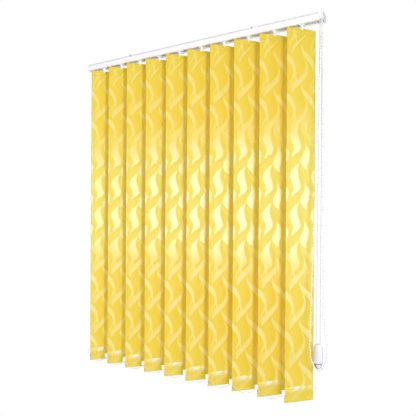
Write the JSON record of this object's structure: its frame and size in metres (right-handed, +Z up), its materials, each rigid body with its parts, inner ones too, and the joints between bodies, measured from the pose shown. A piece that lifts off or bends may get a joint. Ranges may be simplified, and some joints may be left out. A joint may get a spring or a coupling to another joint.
{
  "type": "vertical blind",
  "caption": "Vertical blind with yellow patterned fabric louvres in a white ceiling rail, drawn and tilted by a cord and a bead chain.",
  "frame": {"origin": "on the ceiling, midway between the two fixing screws", "axes": "+X along the rail towards the controls, +Y to the window behind, +Z up"},
  "size_m": [0.8579, 0.0744, 1.0663],
  "materials": {
    "rail_aluminium": "satin",
    "bracket_paint": "satin",
    "white_moulding": "gloss",
    "pulley_moulding": "matte",
    "rod_aluminium": "satin",
    "louvre_fabric": "satin jacquard",
    "white_cord": "braided",
    "bead_chain": "gloss"
  },
  "bodies": {
    "rail": {"headrail": "rail_aluminium", "ceiling_brackets": "bracket_paint", "end_cap": "white_moulding", "control_housing": "white_moulding", "carrier_1": "white_moulding", "draw_cord": "white_cord", "cord_weight": "white_moulding", "control_chain": "bead_chain"},
    "rod": {"tilt_rod": "rod_aluminium", "chain_sprocket": "pulley_moulding"},
    "return_wheel": {"return_pulley": "pulley_moulding"},
    "guide_wheel_front": {"guide_pulley_front": "pulley_moulding"},
    "guide_wheel_rear": {"guide_pulley_rear": "pulley_moulding"},
    "truck_2": {"carrier_2": "white_moulding"},
    "truck_3": {"carrier_3": "white_moulding"},
    "truck_4": {"carrier_4": "white_moulding"},
    "truck_5": {"carrier_5": "white_moulding"},
    "truck_6": {"carrier_6": "white_moulding"},
    "truck_7": {"carrier_7": "white_moulding"},
    "truck_8": {"carrier_8": "white_moulding"},
    "truck_9": {"carrier_9": "white_moulding"},
    "truck_10": {"carrier_10": "white_moulding"},
    "vane_1": {"stem_1": "white_moulding", "louvre_1": "louvre_fabric"},
    "vane_2": {"stem_2": "white_moulding", "louvre_2": "louvre_fabric"},
    "vane_3": {"stem_3": "white_moulding", "louvre_3": "louvre_fabric"},
    "vane_4": {"stem_4": "white_moulding", "louvre_4": "louvre_fabric"},
    "vane_5": {"stem_5": "white_moulding", "louvre_5": "louvre_fabric"},
    "vane_6": {"stem_6": "white_moulding", "louvre_6": "louvre_fabric"},
    "vane_7": {"stem_7": "white_moulding", "louvre_7": "louvre_fabric"},
    "vane_8": {"stem_8": "white_moulding", "louvre_8": "louvre_fabric"},
    "vane_9": {"stem_9": "white_moulding", "louvre_9": "louvre_fabric"},
    "vane_10": {"stem_10": "white_moulding", "louvre_10": "louvre_fabric"},
    "link_front_1": {"bottom_chain_front_1": "bead_chain"},
    "link_front_2": {"bottom_chain_front_2": "bead_chain"},
    "link_front_3": {"bottom_chain_front_3": "bead_chain"},
    "link_front_4": {"bottom_chain_front_4": "bead_chain"},
    "link_front_5": {"bottom_chain_front_5": "bead_chain"},
    "link_front_6": {"bottom_chain_front_6": "bead_chain"},
    "link_front_7": {"bottom_chain_front_7": "bead_chain"},
    "link_front_8": {"bottom_chain_front_8": "bead_chain"},
    "link_front_9": {"bottom_chain_front_9": "bead_chain"},
    "link_rear_1": {"bottom_chain_rear_1": "bead_chain"},
    "link_rear_2": {"bottom_chain_rear_2": "bead_chain"},
    "link_rear_3": {"bottom_chain_rear_3": "bead_chain"},
    "link_rear_4": {"bottom_chain_rear_4": "bead_chain"},
    "link_rear_5": {"bottom_chain_rear_5": "bead_chain"},
    "link_rear_6": {"bottom_chain_rear_6": "bead_chain"},
    "link_rear_7": {"bottom_chain_rear_7": "bead_chain"},
    "link_rear_8": {"bottom_chain_rear_8": "bead_chain"},
    "link_rear_9": {"bottom_chain_rear_9": "bead_chain"}
  },
  "joints": [
    {"name": "traverse", "type": "slide", "parent": "rail", "child": "truck_10", "axis": [1, 0, 0], "range_m": [-0.5625, 0], "deforming": ["bottom_chain_front_1", "bottom_chain_front_2", "bottom_chain_front_3", "bottom_chain_front_4", "bottom_chain_front_5", "bottom_chain_front_6", "bottom_chain_front_7", "bottom_chain_front_8", "bottom_chain_front_9", "bottom_chain_rear_1", "bottom_chain_rear_2", "bottom_chain_rear_3", "bottom_chain_rear_4", "bottom_chain_rear_5", "bottom_chain_rear_6", "bottom_chain_rear_7", "bottom_chain_rear_8", "bottom_chain_rear_9"]},
    {"name": "carrier_2_slide", "type": "slide", "parent": "rail", "child": "truck_2", "axis": [1, 0, 0], "range_m": [-0.0625, 0]},
    {"name": "carrier_3_slide", "type": "slide", "parent": "rail", "child": "truck_3", "axis": [1, 0, 0], "range_m": [-0.125, 0]},
    {"name": "carrier_4_slide", "type": "slide", "parent": "rail", "child": "truck_4", "axis": [1, 0, 0], "range_m": [-0.1875, 0]},
    {"name": "carrier_5_slide", "type": "slide", "parent": "rail", "child": "truck_5", "axis": [1, 0, 0], "range_m": [-0.25, 0]},
    {"name": "carrier_6_slide", "type": "slide", "parent": "rail", "child": "truck_6", "axis": [1, 0, 0], "range_m": [-0.3125, 0]},
    {"name": "carrier_7_slide", "type": "slide", "parent": "rail", "child": "truck_7", "axis": [1, 0, 0], "range_m": [-0.375, 0]},
    {"name": "carrier_8_slide", "type": "slide", "parent": "rail", "child": "truck_8", "axis": [1, 0, 0], "range_m": [-0.4375, 0]},
    {"name": "carrier_9_slide", "type": "slide", "parent": "rail", "child": "truck_9", "axis": [1, 0, 0], "range_m": [-0.5, 0]},
    {"name": "return_pulley_spin", "type": "hinge", "parent": "rail", "child": "return_wheel", "pos_m": [-0.4011, 0, -0.0051], "axis": [0, 0, 1], "continuous": true},
    {"name": "guide_pulley_front_spin", "type": "hinge", "parent": "rail", "child": "guide_wheel_front", "pos_m": [0.41, -0.0116, -0.0101], "axis": [0, 1, 0], "continuous": true},
    {"name": "guide_pulley_rear_spin", "type": "hinge", "parent": "rail", "child": "guide_wheel_rear", "pos_m": [0.41, 0.0116, -0.0101], "axis": [0, 1, 0], "continuous": true},
    {"name": "tilt", "type": "hinge", "parent": "rail", "child": "vane_1", "pos_m": [-0.357, 0, 0], "axis": [0, 0, 1], "range_deg": [-35, 121]},
    {"name": "louvre_2_tilt", "type": "hinge", "parent": "truck_2", "child": "vane_2", "pos_m": [-0.277, 0, 0], "axis": [0, 0, 1], "range_deg": [-35, 121]},
    {"name": "louvre_3_tilt", "type": "hinge", "parent": "truck_3", "child": "vane_3", "pos_m": [-0.197, 0, 0], "axis": [0, 0, 1], "range_deg": [-35, 121]},
    {"name": "louvre_4_tilt", "type": "hinge", "parent": "truck_4", "child": "vane_4", "pos_m": [-0.117, 0, 0], "axis": [0, 0, 1], "range_deg": [-35, 121]},
    {"name": "louvre_5_tilt", "type": "hinge", "parent": "truck_5", "child": "vane_5", "pos_m": [-0.037, 0, 0], "axis": [0, 0, 1], "range_deg": [-35, 121]},
    {"name": "louvre_6_tilt", "type": "hinge", "parent": "truck_6", "child": "vane_6", "pos_m": [0.043, 0, 0], "axis": [0, 0, 1], "range_deg": [-35, 121]},
    {"name": "louvre_7_tilt", "type": "hinge", "parent": "truck_7", "child": "vane_7", "pos_m": [0.123, 0, 0], "axis": [0, 0, 1], "range_deg": [-35, 121]},
    {"name": "louvre_8_tilt", "type": "hinge", "parent": "truck_8", "child": "vane_8", "pos_m": [0.203, 0, 0], "axis": [0, 0, 1], "range_deg": [-35, 121]},
    {"name": "louvre_9_tilt", "type": "hinge", "parent": "truck_9", "child": "vane_9", "pos_m": [0.283, 0, 0], "axis": [0, 0, 1], "range_deg": [-35, 121]},
    {"name": "louvre_10_tilt", "type": "hinge", "parent": "truck_10", "child": "vane_10", "pos_m": [0.363, 0, 0], "axis": [0, 0, 1], "range_deg": [-35, 121]},
    {"name": "rod_spin", "type": "hinge", "parent": "rail", "child": "rod", "pos_m": [0, -0.0076, -0.0108], "axis": [1, 0, 0], "continuous": true},
    {"name": "bottom_chain_front_1_clip", "type": "hinge", "parent": "vane_1", "child": "link_front_1", "pos_m": [-0.38967, -0.03503, -1.0393], "axis": [0, 0, 1], "range_deg": [-121, 35]},
    {"name": "bottom_chain_front_2_clip", "type": "hinge", "parent": "vane_2", "child": "link_front_2", "pos_m": [-0.30967, -0.03503, -1.0393], "axis": [0, 0, 1], "range_deg": [-121, 35]},
    {"name": "bottom_chain_front_3_clip", "type": "hinge", "parent": "vane_3", "child": "link_front_3", "pos_m": [-0.22967, -0.03503, -1.0393], "axis": [0, 0, 1], "range_deg": [-121, 35]},
    {"name": "bottom_chain_front_4_clip", "type": "hinge", "parent": "vane_4", "child": "link_front_4", "pos_m": [-0.14967, -0.03503, -1.0393], "axis": [0, 0, 1], "range_deg": [-121, 35]},
    {"name": "bottom_chain_front_5_clip", "type": "hinge", "parent": "vane_5", "child": "link_front_5", "pos_m": [-0.06967, -0.03503, -1.0393], "axis": [0, 0, 1], "range_deg": [-121, 35]},
    {"name": "bottom_chain_front_6_clip", "type": "hinge", "parent": "vane_6", "child": "link_front_6", "pos_m": [0.01033, -0.03503, -1.0393], "axis": [0, 0, 1], "range_deg": [-121, 35]},
    {"name": "bottom_chain_front_7_clip", "type": "hinge", "parent": "vane_7", "child": "link_front_7", "pos_m": [0.09033, -0.03503, -1.0393], "axis": [0, 0, 1], "range_deg": [-121, 35]},
    {"name": "bottom_chain_front_8_clip", "type": "hinge", "parent": "vane_8", "child": "link_front_8", "pos_m": [0.17033, -0.03503, -1.0393], "axis": [0, 0, 1], "range_deg": [-121, 35]},
    {"name": "bottom_chain_front_9_clip", "type": "hinge", "parent": "vane_9", "child": "link_front_9", "pos_m": [0.25033, -0.03503, -1.0393], "axis": [0, 0, 1], "range_deg": [-121, 35]},
    {"name": "bottom_chain_rear_1_clip", "type": "hinge", "parent": "vane_1", "child": "link_rear_1", "pos_m": [-0.32433, 0.03503, -1.0393], "axis": [0, 0, 1], "range_deg": [-121, 35]},
    {"name": "bottom_chain_rear_2_clip", "type": "hinge", "parent": "vane_2", "child": "link_rear_2", "pos_m": [-0.24433, 0.03503, -1.0393], "axis": [0, 0, 1], "range_deg": [-121, 35]},
    {"name": "bottom_chain_rear_3_clip", "type": "hinge", "parent": "vane_3", "child": "link_rear_3", "pos_m": [-0.16433, 0.03503, -1.0393], "axis": [0, 0, 1], "range_deg": [-121, 35]},
    {"name": "bottom_chain_rear_4_clip", "type": "hinge", "parent": "vane_4", "child": "link_rear_4", "pos_m": [-0.08433, 0.03503, -1.0393], "axis": [0, 0, 1], "range_deg": [-121, 35]},
    {"name": "bottom_chain_rear_5_clip", "type": "hinge", "parent": "vane_5", "child": "link_rear_5", "pos_m": [-0.00433, 0.03503, -1.0393], "axis": [0, 0, 1], "range_deg": [-121, 35]},
    {"name": "bottom_chain_rear_6_clip", "type": "hinge", "parent": "vane_6", "child": "link_rear_6", "pos_m": [0.07567, 0.03503, -1.0393], "axis": [0, 0, 1], "range_deg": [-121, 35]},
    {"name": "bottom_chain_rear_7_clip", "type": "hinge", "parent": "vane_7", "child": "link_rear_7", "pos_m": [0.15567, 0.03503, -1.0393], "axis": [0, 0, 1], "range_deg": [-121, 35]},
    {"name": "bottom_chain_rear_8_clip", "type": "hinge", "parent": "vane_8", "child": "link_rear_8", "pos_m": [0.23567, 0.03503, -1.0393], "axis": [0, 0, 1], "range_deg": [-121, 35]},
    {"name": "bottom_chain_rear_9_clip", "type": "hinge", "parent": "vane_9", "child": "link_rear_9", "pos_m": [0.31567, 0.03503, -1.0393], "axis": [0, 0, 1], "range_deg": [-121, 35]}
  ],
  "couplings": [
    {"joint": "carrier_2_slide", "follows": "traverse", "ratio": 0.11111},
    {"joint": "carrier_3_slide", "follows": "traverse", "ratio": 0.22222},
    {"joint": "carrier_4_slide", "follows": "traverse", "ratio": 0.33333},
    {"joint": "carrier_5_slide", "follows": "traverse", "ratio": 0.44444},
    {"joint": "carrier_6_slide", "follows": "traverse", "ratio": 0.55556},
    {"joint": "carrier_7_slide", "follows": "traverse", "ratio": 0.66667},
    {"joint": "carrier_8_slide", "follows": "traverse", "ratio": 0.77778},
    {"joint": "carrier_9_slide", "follows": "traverse", "ratio": 0.88889},
    {"joint": "return_pulley_spin", "follows": "traverse", "rad_per_m": 86.207},
    {"joint": "guide_pulley_front_spin", "follows": "traverse", "rad_per_m": 200},
    {"joint": "guide_pulley_rear_spin", "follows": "traverse", "rad_per_m": -200},
    {"joint": "louvre_2_tilt", "follows": "tilt", "ratio": 1},
    {"joint": "louvre_3_tilt", "follows": "tilt", "ratio": 1},
    {"joint": "louvre_4_tilt", "follows": "tilt", "ratio": 1},
    {"joint": "louvre_5_tilt", "follows": "tilt", "ratio": 1},
    {"joint": "louvre_6_tilt", "follows": "tilt", "ratio": 1},
    {"joint": "louvre_7_tilt", "follows": "tilt", "ratio": 1},
    {"joint": "louvre_8_tilt", "follows": "tilt", "ratio": 1},
    {"joint": "louvre_9_tilt", "follows": "tilt", "ratio": 1},
    {"joint": "louvre_10_tilt", "follows": "tilt", "ratio": 1},
    {"joint": "rod_spin", "follows": "tilt", "ratio": 5},
    {"joint": "bottom_chain_front_1_clip", "follows": "tilt", "ratio": -1},
    {"joint": "bottom_chain_front_2_clip", "follows": "tilt", "ratio": -1},
    {"joint": "bottom_chain_front_3_clip", "follows": "tilt", "ratio": -1},
    {"joint": "bottom_chain_front_4_clip", "follows": "tilt", "ratio": -1},
    {"joint": "bottom_chain_front_5_clip", "follows": "tilt", "ratio": -1},
    {"joint": "bottom_chain_front_6_clip", "follows": "tilt", "ratio": -1},
    {"joint": "bottom_chain_front_7_clip", "follows": "tilt", "ratio": -1},
    {"joint": "bottom_chain_front_8_clip", "follows": "tilt", "ratio": -1},
    {"joint": "bottom_chain_front_9_clip", "follows": "tilt", "ratio": -1},
    {"joint": "bottom_chain_rear_1_clip", "follows": "tilt", "ratio": -1},
    {"joint": "bottom_chain_rear_2_clip", "follows": "tilt", "ratio": -1},
    {"joint": "bottom_chain_rear_3_clip", "follows": "tilt", "ratio": -1},
    {"joint": "bottom_chain_rear_4_clip", "follows": "tilt", "ratio": -1},
    {"joint": "bottom_chain_rear_5_clip", "follows": "tilt", "ratio": -1},
    {"joint": "bottom_chain_rear_6_clip", "follows": "tilt", "ratio": -1},
    {"joint": "bottom_chain_rear_7_clip", "follows": "tilt", "ratio": -1},
    {"joint": "bottom_chain_rear_8_clip", "follows": "tilt", "ratio": -1},
    {"joint": "bottom_chain_rear_9_clip", "follows": "tilt", "ratio": -1}
  ]
}
